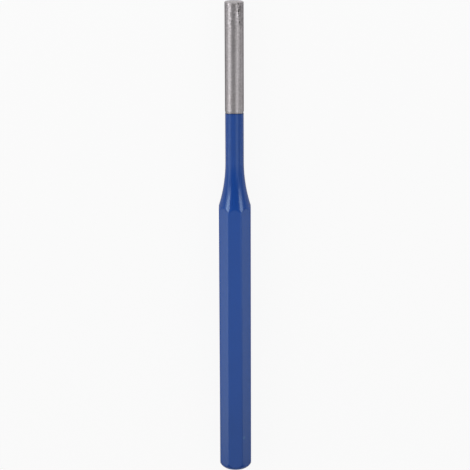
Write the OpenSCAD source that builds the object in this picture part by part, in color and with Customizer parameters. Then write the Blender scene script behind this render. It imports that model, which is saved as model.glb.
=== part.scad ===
// Pin punch: an octagonal steel bar, turned at one end to a crowned striking head and at the other
// to a straight pin, and dipped in blue lacquer that leaves the working end of the pin bare.
// It lies on one flat with the pin pointing along +Y, and the origin is under the middle of its length.
// Heights inside the modules are measured along the punch, from the crown of the striking head.
// All sizes are in millimetres.

/* [Shank] */
// Overall length, from the lacquered striking head to the tip of the pin
overall_length = 152.6; // [140:0.1:180]
// Width of the steel bar across opposite flats
across_flats = 9.84; // [9:0.02:12]
// Depth that the drawn bar's corners are eased by
corner_ease = 0.075; // [0.03:0.005:0.2]
// Radius of the rounded edge of the striking head
head_round = 2.75; // [1:0.05:3.5]
// Radius of the crown that takes the hammer's blows
crown_radius = 25; // [20:1:60]

/* [Pin] */
// Diameter of the ground working end of the pin
pin_diameter = 5.8; // [2:0.1:8]
// Length of the ground working end
ground_length = 34.1; // [15:0.1:40]
// Length of the whole straight pin, from the end of the flare to the tip
pin_length = 50.2; // [45:0.1:65]
// Depth that the turned neck lies below the ground surface, which leaves room for the lacquer
neck_relief = 0.1; // [0.05:0.01:0.3]
// Radius of the concave flare that carries the pin into the shank
flare_radius = 48; // [20:1:80]
// Size of the chamfer round the tip
tip_chamfer = 0.1; // [0.05:0.05:0.6]

/* [Lacquer] */
// Thickness of the lacquer film
film_thickness = 0.08; // [0.06:0.01:0.2]
// Length of pin left bare, measured along the axis
bare_length = 34.75; // [20:0.05:42]
// Tilt of the dip line, which runs further up the side of the pin that faces upwards
dip_tilt = 10; // [0:1:20]

/* [Hidden] */
$fn = 128;

sides = 8;
flat_half_angle = 180 / sides;
// Slope at which the rounded edge of the head meets the crown
edge_slope = 15;

function whole_micron(size) = round(size * 1000) / 1000;

pin_radius = pin_diameter / 2;
neck_radius = pin_radius - neck_relief;
// Radius of the eased corners, which the turned ends also run out to
land_radius = whole_micron(across_flats / 2 / cos(flat_half_angle) - corner_ease);

// Heights along the axis
ground_start_z = overall_length - ground_length;
flare_top_z = overall_length - pin_length;
dip_line_z = overall_length - bare_length;

// Centres of the section's arcs
flare_centre = [neck_radius + flare_radius, flare_top_z];
crown_centre = [0, film_thickness + crown_radius];
rim_radius = land_radius - head_round * (1 - sin(edge_slope));
rim_z = crown_centre.y - sqrt(crown_radius * crown_radius - rim_radius * rim_radius);
head_centre = [land_radius - head_round, whole_micron(rim_z + head_round * cos(edge_slope))];

// How far cutting shapes run past the solid that they cut
overrun = 5;

// Quarter of a disc, on the side of its centre that the two signs name
module disc_quarter(centre, radius, side) {
    intersection() {
        translate(centre) circle(r = radius);
        translate(centre + [min(side.x, 0), min(side.y, 0)] * radius) square(radius);
    }
}

// Striking head up to the end of its rounded edge: a crown inside a rounded corner
module head_section(grow) {
    intersection() {
        translate(crown_centre) circle(r = crown_radius + grow);
        union() {
            translate([0, -overrun]) square([head_centre.x, head_centre.y + overrun]);
            disc_quarter(head_centre, head_round + grow, [1, -1]);
        }
    }
}

// Half section that the lathe leaves, grown outwards by the film
module turned_section(grow) {
    neck = neck_radius + grow;
    pin = pin_radius + grow;
    land = land_radius + grow;
    head_section(grow);
    difference() {
        translate([0, head_centre.y]) square([land, flare_top_z - head_centre.y]);
        disc_quarter(flare_centre, flare_radius - grow, [-1, -1]);
    }
    polygon([
        [0, flare_top_z],
        [neck, flare_top_z],
        [neck, ground_start_z],
        [pin, ground_start_z + neck_relief],
        [pin, overall_length - tip_chamfer],
        [pin - tip_chamfer, overall_length],
        [0, overall_length]
    ]);
}

// Octagonal bar with a flat facing -Y, longer than the punch at both ends
module octagon_bar(grow) {
    corner_radius = (across_flats / 2 + grow) / cos(flat_half_angle);
    translate([0, 0, -overrun])
        linear_extrude(overall_length + 2 * overrun)
            rotate(flat_half_angle) circle(r = corner_radius, $fn = sides);
}

// The punch's outer form: the turned section meets each flat of the bar in a scallop
module punch_form(grow) {
    intersection() {
        octagon_bar(grow);
        rotate_extrude() turned_section(grow);
    }
}

// Block that clears everything above the dip line
module above_dip_line() {
    block = 2 * (bare_length + land_radius);
    translate([0, 0, dip_line_z])
        rotate([-dip_tilt, 0, 0])
            translate([-block / 2, -block / 2, 0]) cube(block);
}

// Lays a standing punch down, with the side that faced -Y upwards
module laid_down() {
    translate([0, -overall_length / 2, across_flats / 2 + film_thickness])
        rotate([-90, 0, 0]) children();
}

// Hardened steel punch: striking head, shank, flare, neck and pin in one piece
module steel_punch() {
    color([0.62, 0.61, 0.60]) laid_down() punch_form(0);
}

// Lacquer film over the head, shank and flare, and up the neck to the dip line
module lacquer_coat() {
    color([0.20, 0.32, 0.57]) laid_down() difference() {
        punch_form(film_thickness);
        punch_form(0);
        above_dip_line();
    }
}

steel_punch();
lacquer_coat();
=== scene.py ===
"""Dresses the pin punch: a ground steel punch with a film of blue lacquer, on a plain studio stage."""

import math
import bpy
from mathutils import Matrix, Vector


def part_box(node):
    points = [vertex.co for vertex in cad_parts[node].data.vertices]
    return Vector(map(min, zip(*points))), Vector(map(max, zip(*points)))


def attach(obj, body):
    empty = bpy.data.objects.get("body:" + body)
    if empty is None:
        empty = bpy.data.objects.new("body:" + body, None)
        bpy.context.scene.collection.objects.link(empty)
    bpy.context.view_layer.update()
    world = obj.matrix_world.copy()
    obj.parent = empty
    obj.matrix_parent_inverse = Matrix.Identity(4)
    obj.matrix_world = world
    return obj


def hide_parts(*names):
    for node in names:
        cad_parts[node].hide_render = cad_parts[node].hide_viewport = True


bl_info = {
    "name": "Pin Punch",
    "version": (1, 0, 0),
    "blender": (4, 5, 0),
    "location": "View3D > Sidebar > Pin Punch",
    "description": "Builds a lacquered pin punch and a plain stage to look at it on",
    "category": "Object",
}

from collections import namedtuple

import bpy
from bpy.props import FloatProperty, FloatVectorProperty, IntProperty, PointerProperty
from mathutils import Matrix, Vector

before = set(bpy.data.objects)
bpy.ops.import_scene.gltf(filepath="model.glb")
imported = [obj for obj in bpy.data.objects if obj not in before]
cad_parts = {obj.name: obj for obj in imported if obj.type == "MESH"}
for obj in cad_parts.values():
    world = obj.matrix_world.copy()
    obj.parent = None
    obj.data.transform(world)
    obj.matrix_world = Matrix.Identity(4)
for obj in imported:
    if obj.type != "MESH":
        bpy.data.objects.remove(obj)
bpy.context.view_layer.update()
STEEL_LOW, STEEL_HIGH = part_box("steel_punch")
COAT_LOW, COAT_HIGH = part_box("lacquer_coat")

MM = 0.001
FLATS = 8
HALF_FLAT = math.pi / FLATS
ALONG = math.pi / 2
X, Y, Z = range(3)


def length_property(name, description, default):
    """A size in metres that the sidebar shows in the scene's own unit."""
    return FloatProperty(
        name=name, description=description, default=default, min=0.0, unit="LENGTH", precision=5
    )


class PunchSizes(bpy.types.PropertyGroup):
    """Sizes of the steel punch"""

    overall_length: length_property(
        "Overall Length", "From the lacquered crown to the tip", STEEL_HIGH[Y] - COAT_LOW[Y]
    )
    across_flats: length_property(
        "Across Flats", "Width of the bare bar across opposite flats", STEEL_HIGH[X] - STEEL_LOW[X]
    )
    corner_ease: length_property("Corner Ease", "Depth that the bar's corners are eased by", 0.075 * MM)
    head_round: length_property("Head Round", "Radius of the striking head's edge", 2.75 * MM)
    crown_radius: length_property("Crown Radius", "Radius of the striking head's crown", 25 * MM)
    pin_diameter: length_property("Pin Diameter", "Diameter of the ground working end", 5.8 * MM)
    ground_length: length_property("Ground Length", "Length of the ground working end", 34.1 * MM)
    pin_length: length_property("Pin Length", "Length of the whole straight pin", 50.2 * MM)
    neck_relief: length_property("Neck Relief", "Depth of the neck below the ground pin", 0.1 * MM)
    flare_radius: length_property("Flare Radius", "Radius of the concave flare", 48 * MM)
    tip_chamfer: length_property("Tip Chamfer", "Size of the chamfer round the tip", 0.1 * MM)
    edge_softness: length_property(
        "Edge Softness", "Depth over which the flats blend into the turned ends", 0.15 * MM
    )
    steps_per_flat: IntProperty(
        name="Steps per Flat", description="Mesh columns on each flat of the bar", default=32, min=8
    )


class LacquerLook(bpy.types.PropertyGroup):
    """Sizes and looks of the lacquer film"""

    film_thickness: length_property(
        "Film Thickness", "Thickness of the lacquer", COAT_HIGH[X] - STEEL_HIGH[X]
    )
    inner_gap: length_property("Inner Gap", "Play between the film and the steel", 0.008 * MM)
    bare_length: length_property("Bare Length", "Length of pin left bare on the axis", 34.75 * MM)
    dip_tilt: FloatProperty(
        name="Dip Tilt",
        description="Tilt of the dip line, nearer the tip on the upper side",
        default=math.radians(10),
        subtype="ANGLE",
    )
    dip_waver: length_property("Dip Waver", "How far the dip line wavers", 0.12 * MM)
    colour: FloatVectorProperty(
        name="Lacquer Colour",
        description="Base colour of the lacquer",
        default=(0.015, 0.076, 0.37),
        subtype="COLOR",
        min=0.0,
        max=1.0,
    )
    roughness: FloatProperty(
        name="Lacquer Roughness",
        description="Roughness of the lacquer's gloss",
        default=0.18,
        subtype="FACTOR",
        min=0.0,
        max=1.0,
    )


class SteelLook(bpy.types.PropertyGroup):
    """Looks of the bare steel"""

    colour: FloatVectorProperty(
        name="Steel Colour",
        description="Base colour of the bare steel",
        default=(0.565, 0.525, 0.53),
        subtype="COLOR",
        min=0.0,
        max=1.0,
    )
    roughness: FloatProperty(
        name="Steel Roughness",
        description="Roughness of the ground steel",
        default=0.32,
        subtype="FACTOR",
        min=0.0,
        max=1.0,
    )


class StageLook(bpy.types.PropertyGroup):
    """Camera, surroundings and floor"""

    camera_tilt: FloatProperty(
        name="Camera Tilt",
        description="Lean of the view from overhead towards the tip",
        default=math.radians(16.6),
        subtype="ANGLE",
    )
    camera_roll: FloatProperty(
        name="Camera Roll", description="Turn about the view", default=math.radians(-0.21), subtype="ANGLE"
    )
    camera_distance: length_property("Camera Distance", "From the camera to the point it looks at", 0.635)
    camera_aim: FloatVectorProperty(
        name="Camera Aim",
        description="Point that the camera looks at",
        default=(0.04 * MM, 2.3 * MM, 5.0 * MM),
        subtype="TRANSLATION",
    )
    camera_lens: FloatProperty(
        name="Camera Lens",
        description="Focal length in millimetres on a 36 mm sensor",
        default=154.755,
        unit="CAMERA",
    )
    left_wall: FloatProperty(
        name="Left Wall", description="Light from the wall on the left", default=1.4, min=0.0
    )
    right_wall: FloatProperty(
        name="Right Wall", description="Light from the wall on the right", default=0.5, min=0.0
    )
    ceiling: FloatProperty(
        name="Ceiling", description="Light from the ceiling over the head's side", default=0.65, min=0.0
    )
    floor_colour: FloatVectorProperty(
        name="Floor Colour",
        description="Colour of the floor under the lamps",
        default=(0.62, 0.62, 0.62),
        subtype="COLOR",
        min=0.0,
        max=1.0,
    )
    floor_shadow: FloatProperty(
        name="Floor Shadow",
        description="Share of the lamps' own light and shadow in the floor that the camera sees",
        default=0.08,
        subtype="FACTOR",
        min=0.0,
        max=1.0,
    )
    gloss_shadow: FloatProperty(
        name="Gloss Shadow",
        description="The same share in the floor that shows in the punch's gloss",
        default=0.82,
        subtype="FACTOR",
        min=0.0,
        max=1.0,
    )


class Wire:
    """One value in a node tree, which adds and multiplies like a number."""

    def __init__(self, tree, socket=None):
        self.tree = tree
        self.socket = socket

    def node(self, kind, inputs=None, output=0, **settings):
        """Add a node of any kind, fill its inputs and hand back one of its outputs."""
        made = self.tree.nodes.new(kind)
        for name, value in settings.items():
            setattr(made, name, value)
        for key, value in (inputs or {}).items():
            if isinstance(value, Wire):
                self.tree.links.new(value.socket, made.inputs[key])
            else:
                made.inputs[key].default_value = value
        return Wire(self.tree, made.outputs[output])

    def math(self, operation, *values, **settings):
        return self.node("ShaderNodeMath", dict(enumerate(values)), operation=operation, **settings)

    def __add__(self, other):
        return self.math("ADD", self, other)

    def __radd__(self, other):
        return self.math("ADD", other, self)

    def __sub__(self, other):
        return self.math("SUBTRACT", self, other)

    def __rsub__(self, other):
        return self.math("SUBTRACT", other, self)

    def __mul__(self, other):
        return self.math("MULTIPLY", self, other)

    def __rmul__(self, other):
        return self.math("MULTIPLY", other, self)

    def __truediv__(self, other):
        return self.math("DIVIDE", self, other)

    def __rtruediv__(self, other):
        return self.math("DIVIDE", other, self)


def plug(tree, wire, socket):
    tree.links.new(wire.socket, socket)


def part(vector, axis):
    """One part of a vector."""
    return vector.node("ShaderNodeSeparateXYZ", {0: vector}, axis)


def sine(angle):
    """Sine of a wire or of a plain number."""
    return angle.math("SINE", angle) if isinstance(angle, Wire) else math.sin(angle)


def cosine(angle):
    """Cosine of a wire or of a plain number."""
    return angle.math("COSINE", angle) if isinstance(angle, Wire) else math.cos(angle)


def step(value, low, high):
    """Smooth step of a value from 0 at low to 1 at high."""
    return value.node(
        "ShaderNodeMapRange",
        {"Value": value, "From Min": low, "From Max": high, "To Min": 0.0, "To Max": 1.0},
        interpolation_type="SMOOTHSTEP",
    )


def fade(value, low, high):
    """Smooth step of a value from 1 at low to 0 at high."""
    return 1 - step(value, low, high)


def band(value, inner, outer):
    """1 where a value lies within inner of zero, down to 0 where it lies beyond outer."""
    return fade(value.math("ABSOLUTE", value), inner, outer)


def noise(place, scale, detail=2.0, rough=0.5):
    """Noise from 0 to 1 over a place."""
    return place.node(
        "ShaderNodeTexNoise", {"Vector": place, "Scale": scale, "Detail": detail, "Roughness": rough}
    )


def streaks(coordinates, rates, detail=2.0, rough=0.5):
    """Noise over up to three coordinates, each multiplied by its own rate."""
    inputs = dict(enumerate(value * rate for value, rate in zip(coordinates, rates)))
    return noise(coordinates[0].node("ShaderNodeCombineXYZ", inputs), 1.0, detail, rough)


def swing(texture, amount):
    """A texture's values about zero, scaled to an amount."""
    return (texture - 0.5) * amount


def mix_colour(factor, first, second):
    """Mix two colours, each a wire or a plain colour."""
    colours = [colour if isinstance(colour, Wire) else (*colour, 1.0) for colour in (first, second)]
    # The node repeats its sockets' names for each type of value, so its colours go by number
    return factor.node("ShaderNodeMix", {0: factor, 6: colours[0], 7: colours[1]}, 2, data_type="RGBA")


def shaded(colour, shade):
    """A colour, as a wire or a plain colour, made lighter or darker by a value."""
    return shade.node("ShaderNodeVectorMath", {"Vector": colour, "Scale": shade}, operation="SCALE")


def bump(relief, strength, depth):
    """Surface directions that follow a relief, in which a height of 1 stands for the depth."""
    return relief.node("ShaderNodeBump", {"Height": relief, "Strength": strength, "Distance": depth})


FORM_INPUTS = (
    "Overall Length",
    "Across Flats",
    "Corner Ease",
    "Head Round",
    "Crown Radius",
    "Pin Diameter",
    "Ground Length",
    "Pin Length",
    "Neck Relief",
    "Flare Radius",
    "Tip Chamfer",
    "Edge Softness",
    "Film Thickness",
    "Inner Gap",
    "Bare Length",
    "Dip Tilt",
    "Dip Waver",
)
# Slope at which the round of the head's edge starts from the crown
EDGE_SLOPE = math.radians(15)
# Part of the flare's turn, next to the shank, that has finer rings for the scallops
SCALLOP_SHARE = 0.24
# Radius of the chamfer's two rounded edges, as a part of its size
CHAMFER_ROUND = 0.3
# Length of the short rings next to the bends
SHORT_RING = 0.04 * MM
# Rings of the mesh on each stretch of the section, from the crown to the tip
FEWEST_RINGS = 2
CROWN_RINGS = 10
BEND_RINGS = 2
HEAD_RINGS = 22
SHANK_RINGS = 14
SCALLOP_RINGS = 30
FLARE_RINGS = 24
NECK_RINGS = 8
LIP_RINGS = 6
RELIEF_RINGS = 3
GROUND_RINGS = 16
CHAMFER_ROUND_RINGS = 3
CHAMFER_RINGS = 2
FACE_RINGS = 12
# Part of those rings that the outside, and the hidden inside of the film, are drawn with
OUTER_DENSITY = 1.0
INNER_DENSITY = 0.5
# Rates of the dip line's waver round the neck, with a seed as its third coordinate
WAVER_RATES = (1.6, 1.6, 1.0)
WAVER_SEED = 4.0
MERGE_DISTANCE = 0.0005 * MM

Stroke = namedtuple("Stroke", "kind rings size start end")


def run(rings, length, heading):
    """A straight stroke."""
    return Stroke("run", rings, length, heading, heading)


def turn(rings, radius, start, end):
    """A stroke that turns from one heading to another."""
    return Stroke("turn", rings, radius, start, end)


def straight(rings, length, heading):
    """A straight stroke with a short ring at each end, which keeps the shading of the bends off it."""
    short = run(1, SHORT_RING, heading)
    return [short, run(rings, length - 2 * SHORT_RING, heading), short]


def backwards(strokes):
    """The same strokes, drawn from their end back to their start."""
    back = []
    for kind, rings, size, start, end in reversed(strokes):
        # A turn bends the other way when it is drawn backwards
        signed = size if kind == "run" else 0.0 - size
        back.append(Stroke(kind, rings, signed, end + math.pi, start + math.pi))
    return back


def ring_count(strokes):
    return sum(stroke.rings for stroke in strokes)


class Section:
    """A half section drawn ring by ring with a pen that runs straight or turns.

    A heading of 0 points away from the axis, and a heading of a quarter turn points along it.
    """

    def __init__(self, row, total, along):
        self.total = total
        self.ring = row.math("ROUND", row * float(total))
        self.drawn = 0
        self.radius = 0.0
        self.along = along

    def share(self, rings):
        """How much of the next stroke lies behind a ring, from 0 to 1."""
        done = self.ring.math("DIVIDE", self.ring - float(self.drawn), float(rings), use_clamp=True)
        self.drawn += rings
        return done

    def draw(self, strokes):
        for kind, rings, size, start, end in strokes:
            done = self.share(rings)
            if kind == "run":
                length = done * size
                self.radius = self.radius + length * math.cos(start)
                self.along = self.along + length * math.sin(start)
            else:
                heading = done * (end - start) + start
                self.radius = self.radius + (sine(heading) - sine(start)) * size
                self.along = self.along + (cosine(start) - cosine(heading)) * size


def neck_radius(size):
    return size["Pin Diameter"] / 2 - size["Neck Relief"]


def coated_strokes(size, grow, neck_run, density):
    """Strokes from the crown over the shank and the flare to the end of the neck, grown by the film."""
    land = size["Across Flats"] / (2 * math.cos(HALF_FLAT)) - size["Corner Ease"]
    rim = land - size["Head Round"] * (1 - math.sin(EDGE_SLOPE))
    crown_turn = land.math("ARCSINE", rim / size["Crown Radius"])
    rim_rise = (1 - cosine(crown_turn)) * size["Crown Radius"]
    head_end = size["Film Thickness"] + rim_rise + size["Head Round"] * math.cos(EDGE_SLOPE)
    flare_turn = land.math("ARCCOSINE", 1 - (land - neck_radius(size)) / size["Flare Radius"])
    flare_reach = sine(flare_turn) * size["Flare Radius"]
    flare_foot = size["Overall Length"] - size["Pin Length"] - flare_reach
    hollow = 0 - (size["Flare Radius"] - grow)
    scallop_end = flare_turn * (1 - SCALLOP_SHARE) + ALONG

    def rings(count):
        return max(FEWEST_RINGS, round(count * density))

    return [
        turn(rings(CROWN_RINGS), size["Crown Radius"] + grow, 0.0, crown_turn),
        turn(rings(BEND_RINGS), grow, crown_turn, EDGE_SLOPE),
        turn(rings(HEAD_RINGS), size["Head Round"] + grow, EDGE_SLOPE, ALONG),
        *straight(rings(SHANK_RINGS), flare_foot - head_end, ALONG),
        turn(rings(BEND_RINGS), grow, ALONG, flare_turn + ALONG),
        turn(rings(SCALLOP_RINGS), hollow, flare_turn + ALONG, scallop_end),
        turn(rings(FLARE_RINGS), hollow, scallop_end, ALONG),
        *straight(rings(NECK_RINGS), neck_run, ALONG),
    ]


def steel_section(size, row):
    """Section of the steel from the crown to the middle of the tip's face, and the growth of its flats."""
    relief = size["Neck Relief"]
    chamfer = size["Tip Chamfer"]
    diagonal = math.sqrt(2)
    sloped = ALONG * 1.5
    body = coated_strokes(size, 0.0, size["Pin Length"] - size["Ground Length"], OUTER_DENSITY)
    working_end = [
        run(RELIEF_RINGS, relief * diagonal, ALONG / 2),
        *straight(GROUND_RINGS, size["Ground Length"] - relief - chamfer, ALONG),
        turn(CHAMFER_ROUND_RINGS, chamfer * CHAMFER_ROUND, ALONG, sloped),
        run(CHAMFER_RINGS, chamfer * ((1 - CHAMFER_ROUND) * diagonal), sloped),
        turn(CHAMFER_ROUND_RINGS, chamfer * CHAMFER_ROUND, sloped, math.pi),
        run(1, SHORT_RING, math.pi),
    ]
    strokes = body + working_end
    section = Section(row, ring_count(strokes) + FACE_RINGS, size["Film Thickness"])
    section.draw(strokes)
    section.radius = section.radius * (1 - section.share(FACE_RINGS))
    return section, 0.0


def film_section(size, row, across, up):
    """Section of the film, outside to the dip line and back inside, and the growth of its flats."""
    film = size["Film Thickness"]
    gap = size["Inner Gap"]
    lean = up.math("TANGENT", size["Dip Tilt"]) * up * neck_radius(size)
    waver = swing(streaks((across, up, WAVER_SEED), WAVER_RATES), size["Dip Waver"])
    bead = (film - gap) / 2
    neck_run = size["Pin Length"] - size["Bare Length"] + lean + waver - bead
    outer = coated_strokes(size, film, neck_run, OUTER_DENSITY)
    lip = turn(LIP_RINGS, bead, ALONG, ALONG + math.pi)
    inner = backwards(coated_strokes(size, gap, neck_run, INNER_DENSITY))
    strokes = [*outer, lip, *inner]
    section = Section(row, ring_count(strokes), 0.0)
    section.draw(strokes)
    inside = row.math("GREATER_THAN", section.ring, ring_count(outer) + LIP_RINGS / 2)
    return section, film - (film - gap) * inside


def form_tree(name, material, steps_per_flat, dipped):
    """Geometry Nodes tree for the punch, or for the film that covers it up to the dip line."""
    tree = bpy.data.node_groups.new(name, "GeometryNodeTree")
    for label in FORM_INPUTS:
        tree.interface.new_socket(label, in_out="INPUT", socket_type="NodeSocketFloat")
    tree.interface.new_socket("Geometry", in_out="OUTPUT", socket_type="NodeSocketGeometry")
    entry = tree.nodes.new("NodeGroupInput")
    size = {label: Wire(tree, entry.outputs[label]) for label in FORM_INPUTS}
    tools = Wire(tree)

    # Columns crowd towards the corners of the bar
    place = tools.node("GeometryNodeInputPosition")
    turns = (part(place, X) + 0.5) * float(FLATS)
    flat = turns.math("FLOOR", turns)
    off_flat = sine((turns - flat) * math.pi - math.pi / 2) * HALF_FLAT
    angle = flat * (2 * HALF_FLAT) + off_flat
    across = sine(angle)
    up = cosine(angle)

    row = part(place, Y) + 0.5
    section, grow = film_section(size, row, across, up) if dipped else steel_section(size, row)
    flat_radius = (size["Across Flats"] / 2 + grow) / cosine(off_flat)
    radius = tools.math("SMOOTH_MIN", section.radius, flat_radius, size["Edge Softness"])
    height = size["Across Flats"] / 2 + size["Film Thickness"]
    point = tools.node(
        "ShaderNodeCombineXYZ",
        {X: radius * across, Y: section.along - size["Overall Length"] / 2, Z: radius * up + height},
    )
    columns = FLATS * steps_per_flat
    sheet = tools.node(
        "GeometryNodeMeshGrid",
        {"Size X": 1.0, "Size Y": 1.0, "Vertices X": columns + 1, "Vertices Y": section.total + 1},
    )
    shell = tools.node("GeometryNodeSetPosition", {"Geometry": sheet, "Position": point})
    shell = tools.node("GeometryNodeMergeByDistance", {"Geometry": shell, "Distance": MERGE_DISTANCE})
    shell = tools.node("GeometryNodeSetShadeSmooth", {0: shell})
    shell = tools.node("GeometryNodeRealizeInstances", {0: shell})
    shell = tools.node("GeometryNodeSetMaterial", {"Geometry": shell, "Material": material})
    leave = tree.nodes.new("NodeGroupOutput")
    plug(tree, shell, leave.inputs[0])
    return tree


def form_values(scene):
    """The sizes from the sidebar, under the names of the trees' inputs."""
    values = {}
    for label in FORM_INPUTS:
        key = label.lower().replace(" ", "_")
        group = scene.punch_sizes if hasattr(scene.punch_sizes, key) else scene.lacquer_look
        values[label] = getattr(group, key)
    return values


def require_closed(mesh):
    """Raise an error unless each edge of a mesh has a face on both sides."""
    uses = {}
    for polygon in mesh.polygons:
        for key in polygon.edge_keys:
            uses[key] = uses.get(key, 0) + 1
    if not uses or any(count != 2 for count in uses.values()):
        raise RuntimeError(f"{mesh.name} isn't a closed solid")


def make_piece(name, tree, values):
    """Run a tree on a new object and keep its result as a plain mesh."""
    piece = bpy.data.objects.new(name, bpy.data.meshes.new(name))
    bpy.context.scene.collection.objects.link(piece)
    modifier = piece.modifiers.new(tree.name, "NODES")
    modifier.node_group = tree
    for item in tree.interface.items_tree:
        if item.in_out == "INPUT":
            modifier[item.identifier] = values[item.name]
    depsgraph = bpy.context.evaluated_depsgraph_get()
    solid = bpy.data.meshes.new_from_object(piece.evaluated_get(depsgraph), depsgraph=depsgraph)
    piece.modifiers.remove(modifier)
    piece.data = solid
    solid.name = name
    require_closed(solid)
    return piece


def new_material(name):
    """An empty node material with its shader, and the punch's own coordinates in metres."""
    material = bpy.data.materials.new(name)
    material.use_nodes = True
    tree = material.node_tree
    shader = tree.nodes["Principled BSDF"]
    place = Wire(tree).node("ShaderNodeTexCoord", output="Object")
    return material, tree, shader, place


def punch_coordinates(place, sizes, film):
    """Distance along the punch from the crown, angle round it from the top, and distance from its axis."""
    x, y, z = (part(place, axis) for axis in (X, Y, Z))
    rise = z - (sizes.across_flats / 2 + film)
    along = y + sizes.overall_length / 2
    angle = x.math("ARCTAN2", x, rise)
    radius = x.math("SQRT", x * x + rise * rise)
    return along, angle, radius


# Rates of the ground lines: per metre along the pin, per radian round it and per metre outwards
LINE_RATES = (2600.0, 2.5, 900.0)
GROOVE_RATES = (13000.0, 1.5)
# Rates of the rings on the end face: per metre outwards and per radian round it
RING_RATES = (7000.0, 0.4)
# Noise scales of the steel, per metre
SPECKLE_SCALE = 1600.0
STAIN_SCALE = 160.0
WANDER_SCALE = 1100.0
TEAR_SCALE = 1500.0
# Where the speckle near the tip, and the end face, give way to the rest of the pin
SPECKLED_TIP = (1 * MM, 13 * MM)
FACE_DEPTH = (0.01 * MM, 0.06 * MM)
# How far each mark lightens or darkens the steel, as a part of its colour
LINE_SHADE = 0.40
SPECKLE_SHADE = 0.5
TIP_SPECKLE_SHADE = 1.2
STAIN_SHADE = 0.12
# The burr's bright flecks are painted highlights
BURR_PAINTED_HIGHLIGHT = 0.5
DARKENED_AMOUNT = 0.25
RING_SHADE = 0.2
# The end face is painted lighter, a painted reflection of the pale floor
END_FACE_PAINTED_REFLECTION = 0.75
COOL_TINT = (0.97, 1.0, 1.03)
# How far each mark changes the steel's roughness
LINE_ROUGHNESS = 0.12
SPECKLE_ROUGHNESS = 0.10
FLAW_ROUGHNESS = 0.2
FACE_ROUGHNESS = 0.25
# How far each mark stands up in the steel's bump, or the flaw sinks, as a part of its depth
GROOVE_BUMP = 0.65
LINE_BUMP = 0.5
SPECKLE_BUMP = 0.15
TIP_SPECKLE_BUMP = 0.4
RING_BUMP = 0.4
FLAW_BUMP = 2.0
STEEL_BUMP_STRENGTH = 1.0
STEEL_BUMP_DEPTH = 0.012 * MM
# Dull at a glancing look, which keeps the pin's edges dark
STEEL_EDGE_TINT = (0.1, 0.1, 0.1, 1.0)
# The flaw at the tip, with angles in radians and pairs for where a mark starts and stops fading
CRACK_ANGLE = 0.46
CRACK_TURN_PER_METRE = 21.5
CRACK_WANDER = 0.16
CRACK_WIDTH = (0.05, 0.15)
CRACK_LENGTH = (6.0 * MM, 8.0 * MM)
CRACK_ON_FACE = (1.8 * MM, 2.7 * MM)
# Painted shade that darkens the crack
CRACK_PAINTED_SHADE = 0.85
UNTORN_CRACK = 0.3
TEAR_LENGTH = (5.5 * MM, 7.5 * MM)
TEAR_GAPS = (0.42, 0.58)
# Place of the painted highlights along the crack's torn left edge
BURR_GLINT_OFFSET = 0.15
BURR_GLINT_WIDTH = (0.03, 0.12)
# Where the steel is darker to the crack's right
DARKENED_START = (0.0, 0.15)
DARKENED_WIDTH = (0.3, 0.7)
DARKENED_LENGTH = (5.0 * MM, 9.0 * MM)
PIT_ANGLE = 0.50
PIT_HALF_ANGLE = 0.10
PIT_FROM_TIP = 2.5 * MM
PIT_HALF_LENGTH = 0.5 * MM
PIT_EDGE = (0.2, 1.0)
# Painted shade that darkens the pit
PIT_PAINTED_SHADE = 0.95


def tip_flaw(place, from_tip, angle, radius):
    """A crack with a pit that wanders back from the tip, both darkened with painted shade, bright flecks of
    painted highlight along its torn left edge, and darker steel to its right."""
    wander = swing(noise(place, WANDER_SCALE), CRACK_WANDER)
    track = angle - from_tip * CRACK_TURN_PER_METRE - CRACK_ANGLE + wander
    torn = fade(from_tip, *TEAR_LENGTH) * step(noise(place, TEAR_SCALE), *TEAR_GAPS)
    crack = band(track, *CRACK_WIDTH) * (UNTORN_CRACK + (1 - UNTORN_CRACK) * torn)
    crack = crack * fade(from_tip, *CRACK_LENGTH) * step(radius, *CRACK_ON_FACE)
    pit_side = (angle - PIT_ANGLE) / PIT_HALF_ANGLE
    pit_rise = (from_tip - PIT_FROM_TIP) / PIT_HALF_LENGTH
    pit = fade(pit_side * pit_side + pit_rise * pit_rise, *PIT_EDGE)
    # The flaw's mask, which also carries the painted shade of the crack and the pit
    flaw_and_its_shade = crack.math("MAXIMUM", crack * CRACK_PAINTED_SHADE, pit * PIT_PAINTED_SHADE)
    # Painted highlights: bright flecks along the torn left edge, where a burr would catch the light
    burr_glint = band(track + BURR_GLINT_OFFSET, *BURR_GLINT_WIDTH) * torn
    # Darker steel to the crack's right
    darkened = step(track, *DARKENED_START) * fade(track, *DARKENED_WIDTH) * fade(from_tip, *DARKENED_LENGTH)
    return flaw_and_its_shade, burr_glint, darkened


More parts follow.
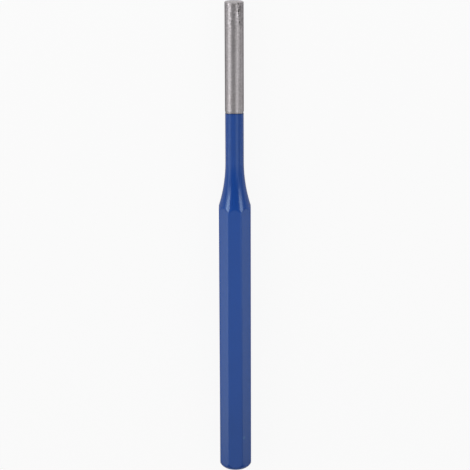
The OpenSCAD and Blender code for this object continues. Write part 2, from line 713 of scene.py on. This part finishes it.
def steel_material(scene):
    """Ground bare steel: fine lines round the pin, a speckle near the tip and turned rings on its face,
    which is painted lighter as a painted reflection of the pale floor.
    """
    look = scene.steel_look
    sizes = scene.punch_sizes
    material, tree, shader, place = new_material("ground_steel")
    along, angle, radius = punch_coordinates(place, sizes, scene.lacquer_look.film_thickness)
    from_tip = sizes.overall_length - along
    near_tip = fade(from_tip, *SPECKLED_TIP)
    end_face = fade(from_tip, *FACE_DEPTH)

    lines = streaks((along, angle, radius), LINE_RATES, detail=3.0, rough=0.6)
    grooves = streaks((along, angle), GROOVE_RATES, detail=1.0)
    rings = streaks((radius, angle), RING_RATES)
    speckle = noise(place, SPECKLE_SCALE, rough=0.6)
    stain = noise(place, STAIN_SCALE)
    flaw_and_its_shade, burr_glint, darkened = tip_flaw(place, from_tip, angle, radius)

    speckle_shade = SPECKLE_SHADE + TIP_SPECKLE_SHADE * near_tip
    shade = 1.0 + swing(lines, LINE_SHADE) + swing(speckle, speckle_shade) + swing(stain, STAIN_SHADE)
    shade = shade + burr_glint * BURR_PAINTED_HIGHLIGHT - darkened * DARKENED_AMOUNT
    # The end face's turned rings, on a painted reflection that lightens the whole face
    shade = shade + end_face * (swing(rings, RING_SHADE) + END_FACE_PAINTED_REFLECTION)
    cool = tuple(channel * tint for channel, tint in zip(look.colour, COOL_TINT))
    tone = mix_colour(stain, tuple(look.colour), cool)
    # The crack and the pit are darkened here with painted shade
    plug(tree, shaded(tone, shade * (1 - flaw_and_its_shade)), shader.inputs["Base Color"])

    gloss = look.roughness + swing(lines, LINE_ROUGHNESS) + swing(speckle, SPECKLE_ROUGHNESS)
    gloss = gloss + flaw_and_its_shade * FLAW_ROUGHNESS + end_face * FACE_ROUGHNESS
    plug(tree, gloss, shader.inputs["Roughness"])
    shader.inputs["Metallic"].default_value = 1.0
    shader.inputs["Specular Tint"].default_value = STEEL_EDGE_TINT

    relief = grooves * GROOVE_BUMP + lines * LINE_BUMP
    relief = relief + speckle * (SPECKLE_BUMP + TIP_SPECKLE_BUMP * near_tip)
    relief = relief + end_face * rings * RING_BUMP - flaw_and_its_shade * FLAW_BUMP
    plug(tree, bump(relief, STEEL_BUMP_STRENGTH, STEEL_BUMP_DEPTH), shader.inputs["Normal"])
    return material


# Noise scales of the lacquer, per metre
CLOUD_SCALE = 70.0
GRAIN_SCALE = 1500.0
PEEL_SCALE = 420.0
# Where the lacquer's colour starts and stops changing: behind the dip line, and from the crown
DIP_BAND = (0.05 * MM, 0.5 * MM)
HEAD_BAND = (0.0, 55 * MM)
FLARE_BAND = (84 * MM, 94 * MM)
# How far these places darken the lacquer, with painted shade at the dip line and towards the head, and the
# cloud and the grain vary it, as a part of its colour
# Painted shade of the lacquer's rolled bead at the dip line
DIP_PAINTED_SHADE = 0.55
# Painted falloff of the light towards the head
HEAD_PAINTED_SHADE = 0.14
FLARE_SHADE = 0.10
CLOUD_SHADE = 0.16
GRAIN_SHADE = 0.06
# How far the cloud and the grain change the lacquer's roughness
CLOUD_ROUGHNESS = 0.08
GRAIN_ROUGHNESS = 0.05
# How far the peel and the grain stand up in the lacquer's bump, as a part of its depth
PEEL_BUMP = 0.8
GRAIN_BUMP = 0.2
LACQUER_BUMP_STRENGTH = 0.08
LACQUER_BUMP_DEPTH = 0.02 * MM
# A strong gloss that is a little blue
LACQUER_IOR = 1.58
LACQUER_GLOSS_TINT = (0.72, 0.92, 1.0, 1.0)
# The paler touch mark: its place, where it fades, its colour and how much of that shows
TOUCH_MARK = (2.74 * MM, -64.5 * MM, 9.33 * MM)
TOUCH_REACH = (0.15 * MM, 0.75 * MM)
TOUCH_COLOUR = (0.06, 0.26, 0.47)
TOUCH_STRENGTH = 0.25


def lacquer_material(scene):
    """Dipped blue lacquer: a soft gloss with a faint peel, much darker in a thin band at the dip line with
    painted shade for the dark reflection of its rolled bead, darker towards the head with a painted falloff
    of the light, and a little darker on the flare and the neck."""
    look = scene.lacquer_look
    sizes = scene.punch_sizes
    material, tree, shader, place = new_material("dipped_lacquer")
    along, angle, radius = punch_coordinates(place, sizes, look.film_thickness)

    cloud = noise(place, CLOUD_SCALE, detail=3.0, rough=0.55)
    grain = noise(place, GRAIN_SCALE, rough=0.6)
    peel = noise(place, PEEL_SCALE)
    lean = cosine(angle) * radius * math.tan(look.dip_tilt)
    behind_dip = (sizes.overall_length - look.bare_length) + lean - along
    # Painted shade: a dark band just behind the dip line for the dark reflection of the lacquer's rolled
    # bead
    dip_bead_shade = fade(behind_dip, *DIP_BAND)
    # Painted shade: darker towards the head, where the light falls off
    head_falloff_shade = fade(along, *HEAD_BAND)
    past_shank = step(along, *FLARE_BAND)

    # One paler touch mark on a flat, near the head
    from_mark = place.node("ShaderNodeVectorMath", {0: place, 1: TOUCH_MARK}, "Value", operation="DISTANCE")
    touched = fade(from_mark, *TOUCH_REACH) * TOUCH_STRENGTH

    shade = 1.0 + swing(cloud, CLOUD_SHADE) + swing(grain, GRAIN_SHADE)
    # The dip line's dark band and the darkening towards the head are painted shade
    shade = shade - dip_bead_shade * DIP_PAINTED_SHADE - head_falloff_shade * HEAD_PAINTED_SHADE - past_shank * FLARE_SHADE
    colour = mix_colour(touched, shaded(tuple(look.colour), shade), TOUCH_COLOUR)
    plug(tree, colour, shader.inputs["Base Color"])

    gloss = look.roughness + swing(cloud, CLOUD_ROUGHNESS) + swing(grain, GRAIN_ROUGHNESS)
    plug(tree, gloss, shader.inputs["Roughness"])
    shader.inputs["IOR"].default_value = LACQUER_IOR
    shader.inputs["Specular Tint"].default_value = LACQUER_GLOSS_TINT

    relief = peel * PEEL_BUMP + grain * GRAIN_BUMP
    plug(tree, bump(relief, LACQUER_BUMP_STRENGTH, LACQUER_BUMP_DEPTH), shader.inputs["Normal"])
    return material


class PUNCH_OT_steel_punch(bpy.types.Operator):
    """Build the one-piece steel punch with its ground working end"""

    bl_idname = "punch.steel_punch"
    bl_label = "Steel Punch"

    def execute(self, context):
        scene = context.scene
        steps = scene.punch_sizes.steps_per_flat
        tree = form_tree("Steel Punch Form", steel_material(scene), steps, dipped=False)
        piece = make_piece("punch_steel", tree, form_values(scene))
        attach(piece, "root")
        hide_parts("steel_punch")
        return {"FINISHED"}


class PUNCH_OT_lacquer_coat(bpy.types.Operator):
    """Build the film of lacquer from the striking head to the dip line"""

    bl_idname = "punch.lacquer_coat"
    bl_label = "Lacquer Coat"

    def execute(self, context):
        scene = context.scene
        steps = scene.punch_sizes.steps_per_flat
        tree = form_tree("Lacquer Film Form", lacquer_material(scene), steps, dipped=True)
        piece = make_piece("punch_lacquer", tree, form_values(scene))
        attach(piece, "root")
        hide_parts("lacquer_coat")
        return {"FINISHED"}


# Lamps beside the axis: name, lean from overhead in degrees, width, start and end along the punch, radiance
LAMPS = (
    ("left_key", -53, 0.22, 0.075, 0.22, 4.8),
    ("left_mid", -50, 0.24, 0.03, 0.075, 1.7),
    ("left_low", -58, 0.27, -0.19, -0.02, 0.56),
    ("left_side", -81, 0.17, -0.29, -0.09, 1.4),
    ("left_far", -45, 0.50, 0.24, 0.62, 1.2),
    ("right_key", 49, 0.22, 0.075, 0.20, 3.6),
    ("right_mid", 50, 0.22, 0.03, 0.075, 1.6),
    ("right_low", 31, 0.30, -0.19, -0.01, 0.65),
    ("right_side", 81, 0.17, -0.29, -0.09, 1.0),
    ("right_far", 45, 0.50, 0.24, 0.62, 1.2),
    ("front_fill", 0, 0.70, 0.36, 0.80, 1.5),
)
LAMP_DISTANCE = 0.5
AXIS_HEIGHT = (COAT_LOW[Z] + COAT_HIGH[Z]) / 2
FLOOR_REACH = 3.0
FLOOR_DROP = 0.02 * MM
SENSOR_WIDTH = 36.0
NEAREST_SEEN = 0.01
FARTHEST_SEEN = 20.0

# Where the surroundings blend into each other, as parts of a direction of length 1
HORIZON_TOP = (0.05, 0.15)
WALL_FOOT = (0.1, 0.3)
WALL_TOP = (0.3, 0.6)
WALL_SIDE = (0.35, 0.85)
WALL_END = (0.2, 0.3)
CEILING_START = (0.12, 0.32)


def strip_lamp(name, lean, width, start, end, radiance):
    """A flat lamp beside the punch's axis, leaning from overhead, that runs between two places along it."""
    lean = math.radians(lean)
    away = Vector((math.sin(lean), 0.0, math.cos(lean)))
    side = Vector((0.0, 1.0, 0.0))
    across = side.cross(away)
    middle = Vector((0.0, (start + end) / 2, AXIS_HEIGHT)) + away * LAMP_DISTANCE
    lamp = bpy.data.lights.new(name, "AREA")
    lamp.shape = "RECTANGLE"
    lamp.size = width
    lamp.size_y = end - start
    lamp.energy = radiance * math.pi * lamp.size * lamp.size_y
    holder = bpy.data.objects.new(name, lamp)
    facing = Matrix((across, side, away)).transposed().to_4x4()
    holder.matrix_world = Matrix.Translation(middle) @ facing
    holder.visible_camera = False
    bpy.context.scene.collection.objects.link(holder)


def white_share(tools, look):
    """Share of white in the background: nearly all to the eye, and a little in the punch's gloss."""
    rays = ("Is Camera Ray", "Is Transmission Ray", "Is Glossy Ray")
    camera, through, glossy = (tools.node("ShaderNodeLightPath", output=ray) for ray in rays)
    seen = tools.math("MAXIMUM", camera, through) * (1 - look.floor_shadow)
    return tools.math("MAXIMUM", seen, glossy * (1 - look.gloss_shadow))


def floor_material(look):
    """A pale matt floor that the eye and the gloss of the punch see whiter, with a soft shadow."""
    material = bpy.data.materials.new("pale_floor")
    material.use_nodes = True
    tree = material.node_tree
    tree.nodes.clear()
    tools = Wire(tree)
    matt = tools.node("ShaderNodeBsdfDiffuse", {"Color": (*look.floor_colour, 1.0)})
    white = tools.node("ShaderNodeEmission", {"Strength": 1.0})
    blend = tools.node("ShaderNodeMixShader", {0: white_share(tools, look), 1: matt, 2: white})
    leave = tree.nodes.new("ShaderNodeOutputMaterial")
    plug(tree, blend, leave.inputs["Surface"])
    return material


def floor_mesh(look):
    """A square floor just under the punch."""
    mesh = bpy.data.meshes.new("floor")
    corners = [(-1, -1), (1, -1), (1, 1), (-1, 1)]
    points = [(x * FLOOR_REACH, y * FLOOR_REACH, -FLOOR_DROP) for x, y in corners]
    mesh.from_pydata(points, [], [(0, 1, 2, 3)])
    mesh.materials.append(floor_material(look))
    return mesh


def studio_world(look):
    """Side walls beside the tip's end, a ceiling over the head's, and a white horizon behind the floor."""
    world = bpy.data.worlds.new("studio")
    world.use_nodes = True
    tree = world.node_tree
    tools = Wire(tree)
    view = tools.node("ShaderNodeTexCoord", output="Generated")
    x, y, z = (part(view, axis) for axis in (X, Y, Z))
    height = z.math("ABSOLUTE", z)
    overhead = step(height, *WALL_TOP)
    headwards = 0 - y
    ceiling = overhead * step(headwards, *CEILING_START) * look.ceiling
    walls = step(0 - x, *WALL_SIDE) * look.left_wall + step(x, *WALL_SIDE) * look.right_wall
    walls = walls * step(height, *WALL_FOOT) * (1 - overhead) * fade(headwards, *WALL_END)
    horizon = fade(height, *HORIZON_TOP) * white_share(tools, look)
    strength = (ceiling + walls) * (1 - horizon) + horizon
    background = tree.nodes["Background"]
    background.inputs["Color"].default_value = (1.0, 1.0, 1.0, 1.0)
    plug(tree, strength, background.inputs["Strength"])
    return world


def photograph_camera(look):
    """A camera over the punch that leans towards the tip, as in the photograph."""
    camera = bpy.data.cameras.new("camera")
    camera.sensor_width = SENSOR_WIDTH
    camera.lens = look.camera_lens
    camera.clip_start = NEAREST_SEEN
    camera.clip_end = FARTHEST_SEEN
    holder = bpy.data.objects.new("camera", camera)
    facing = Matrix.Rotation(-look.camera_tilt, 4, "X") @ Matrix.Rotation(look.camera_roll, 4, "Z")
    back = Vector((0.0, math.sin(look.camera_tilt), math.cos(look.camera_tilt)))
    place = Vector(look.camera_aim) + back * look.camera_distance
    holder.matrix_world = Matrix.Translation(place) @ facing
    return holder


class PUNCH_OT_stage(bpy.types.Operator):
    """Set up the floor, the lamps, the world and the camera"""

    bl_idname = "punch.stage"
    bl_label = "Stage"

    def execute(self, context):
        scene = context.scene
        look = scene.stage_look

        floor = bpy.data.objects.new("floor", floor_mesh(look))
        scene.collection.objects.link(floor)

        for lamp in LAMPS:
            strip_lamp(*lamp)
        scene.world = studio_world(look)

        camera = photograph_camera(look)
        scene.collection.objects.link(camera)
        scene.camera = camera
        scene.view_settings.view_transform = "Standard"
        return {"FINISHED"}


class PUNCH_PT_panel(bpy.types.Panel):
    """Sizes and looks of the punch, and the steps that build it"""

    bl_idname = "PUNCH_PT_panel"
    bl_label = "Pin Punch"
    bl_space_type = "VIEW_3D"
    bl_region_type = "UI"
    bl_category = "Pin Punch"

    def draw(self, context):
        for title, group in (
            ("Punch", context.scene.punch_sizes),
            ("Lacquer", context.scene.lacquer_look),
            ("Steel", context.scene.steel_look),
            ("Stage", context.scene.stage_look),
        ):
            box = self.layout.box()
            box.label(text=title)
            for key in group.__annotations__:
                box.prop(group, key)
        for operator in OPERATORS:
            self.layout.operator(operator.bl_idname)


GROUPS = {
    "punch_sizes": PunchSizes,
    "lacquer_look": LacquerLook,
    "steel_look": SteelLook,
    "stage_look": StageLook,
}
OPERATORS = (PUNCH_OT_steel_punch, PUNCH_OT_lacquer_coat, PUNCH_OT_stage)


def register():
    for name, group in GROUPS.items():
        bpy.utils.register_class(group)
        setattr(bpy.types.Scene, name, PointerProperty(type=group))
    for operator in OPERATORS:
        bpy.utils.register_class(operator)
    bpy.utils.register_class(PUNCH_PT_panel)


def unregister():
    bpy.utils.unregister_class(PUNCH_PT_panel)
    for operator in reversed(OPERATORS):
        bpy.utils.unregister_class(operator)
    for name, group in reversed(GROUPS.items()):
        delattr(bpy.types.Scene, name)
        bpy.utils.unregister_class(group)


def main():
    register()
    bpy.ops.punch.steel_punch()
    bpy.ops.punch.lacquer_coat()
    bpy.ops.punch.stage()


if __name__ == "__main__":
    main()
